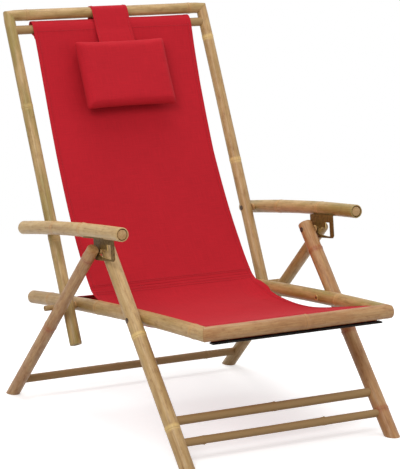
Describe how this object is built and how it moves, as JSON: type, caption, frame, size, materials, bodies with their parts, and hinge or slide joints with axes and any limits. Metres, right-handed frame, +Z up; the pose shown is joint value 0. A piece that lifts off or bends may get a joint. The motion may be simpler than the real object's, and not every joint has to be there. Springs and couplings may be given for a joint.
{
  "type": "folding sling recliner chair",
  "caption": "Folding recliner: bamboo frame with a canvas sling seat, a strapped headrest pillow, armrests with notched steel brackets that set the back, and scissor legs.",
  "frame": {"origin": "on the floor, at the middle of the bounding box, with the chair upright", "axes": "+Z up, the sitter faces -Y and leans back towards +Y, +X is the right side as seen from in front"},
  "size_m": [0.6994, 0.9816, 0.9921],
  "materials": {
    "bamboo": "varnished bamboo culm",
    "smoked_bamboo": "darker varnished bamboo",
    "pale_wood": "bare pale wood",
    "bronze_steel": "olive bronze lacquered steel",
    "black_steel": "blackened steel",
    "canvas": "red woven canvas"
  },
  "bodies": {
    "seat": {"seat_rail_left": "bamboo", "seat_rail_right": "bamboo", "front_bar": "bamboo", "front_sling_bar": "smoked_bamboo", "rear_sling_bar": "smoked_bamboo", "mitre_peg_front_left": "pale_wood", "mitre_peg_front_right": "pale_wood", "leg_pivot_bolt_left": "black_steel", "leg_pivot_bolt_right": "black_steel", "leg_pivot_nut_left": "black_steel", "leg_pivot_nut_right": "black_steel", "front_batten": "black_steel", "batten_screw_left": "black_steel", "batten_screw_middle": "black_steel", "batten_screw_right": "black_steel", "seat_sling": "canvas", "rear_flap": "canvas"},
    "front_legs": {"front_leg_left": "bamboo", "front_leg_right": "bamboo", "front_crossbar_upper": "smoked_bamboo", "front_crossbar_lower": "smoked_bamboo", "notch_pin_left": "black_steel", "notch_pin_right": "black_steel", "notch_spacer_left": "pale_wood", "notch_spacer_right": "pale_wood"},
    "rear_legs": {"rear_leg_left": "bamboo", "rear_leg_right": "bamboo", "rear_crossbar": "smoked_bamboo"},
    "back_pivot": {"pivot_rod": "smoked_bamboo", "back_spacer_left": "pale_wood", "back_spacer_right": "pale_wood"},
    "back": {"upright_left": "bamboo", "upright_right": "bamboo", "top_rail": "bamboo", "top_sling_bar": "smoked_bamboo", "mitre_peg_top_left": "pale_wood", "mitre_peg_top_right": "pale_wood", "back_sling": "canvas", "headrest_pillow": "canvas", "headrest_strap": "canvas"},
    "left_arm_pivot": {"arm_pivot_bolt_left": "black_steel", "arm_spacer_left": "pale_wood"},
    "right_arm_pivot": {"arm_pivot_bolt_right": "black_steel", "arm_spacer_right": "pale_wood"},
    "left_arm": {"armrest_left": "bamboo", "armrest_plug_left": "pale_wood", "notch_bracket_left": "bronze_steel", "bracket_screw_front_left": "black_steel", "bracket_screw_rear_left": "black_steel"},
    "right_arm": {"armrest_right": "bamboo", "armrest_plug_right": "pale_wood", "notch_bracket_right": "bronze_steel", "bracket_screw_front_right": "black_steel", "bracket_screw_rear_right": "black_steel"}
  },
  "joints": [
    {"name": "leg_fold", "type": "hinge", "parent": "seat", "child": "front_legs", "pos_m": [0, -0.19352, 0.30045], "axis": [-1, 0, 0], "range_deg": [0, 43.5]},
    {"name": "rear_leg_fold", "type": "hinge", "parent": "front_legs", "child": "rear_legs", "pos_m": [0, -0.06655, 0.44911], "axis": [-1, 0, 0], "range_deg": [0, 81.5]},
    {"name": "back_fold", "type": "hinge", "parent": "seat", "child": "back_pivot", "pos_m": [0, 0.15119, 0.273], "axis": [-1, 0, 0], "range_deg": [0, 48.8]},
    {"name": "back_recline", "type": "hinge", "parent": "back_pivot", "child": "back", "pos_m": [0, 0.15119, 0.273], "axis": [-1, 0, 0], "range_deg": [0, 18.5]},
    {"name": "left_arm_fold", "type": "hinge", "parent": "back", "child": "left_arm_pivot", "pos_m": [-0.3, 0.23827, 0.46233], "axis": [1, 0, 0], "range_deg": [0, 48]},
    {"name": "right_arm_fold", "type": "hinge", "parent": "back", "child": "right_arm_pivot", "pos_m": [0.3, 0.23827, 0.46233], "axis": [1, 0, 0], "range_deg": [0, 48]},
    {"name": "left_arm_recline", "type": "hinge", "parent": "left_arm_pivot", "child": "left_arm", "pos_m": [-0.3, 0.23827, 0.46233], "axis": [1, 0, 0], "range_deg": [0, 11.4]},
    {"name": "right_arm_recline", "type": "hinge", "parent": "right_arm_pivot", "child": "right_arm", "pos_m": [0.3, 0.23827, 0.46233], "axis": [1, 0, 0], "range_deg": [0, 11.4]}
  ],
  "couplings": [
    {"joint": "rear_leg_fold", "follows": "leg_fold", "ratio": 1.8733},
    {"joint": "back_fold", "follows": "leg_fold", "ratio": 1.1207},
    {"joint": "left_arm_fold", "follows": "leg_fold", "ratio": 1.1028},
    {"joint": "right_arm_fold", "follows": "leg_fold", "ratio": 1.1028},
    {"joint": "left_arm_recline", "follows": "back_recline", "ratio": 0.61491},
    {"joint": "right_arm_recline", "follows": "back_recline", "ratio": 0.61491}
  ]
}
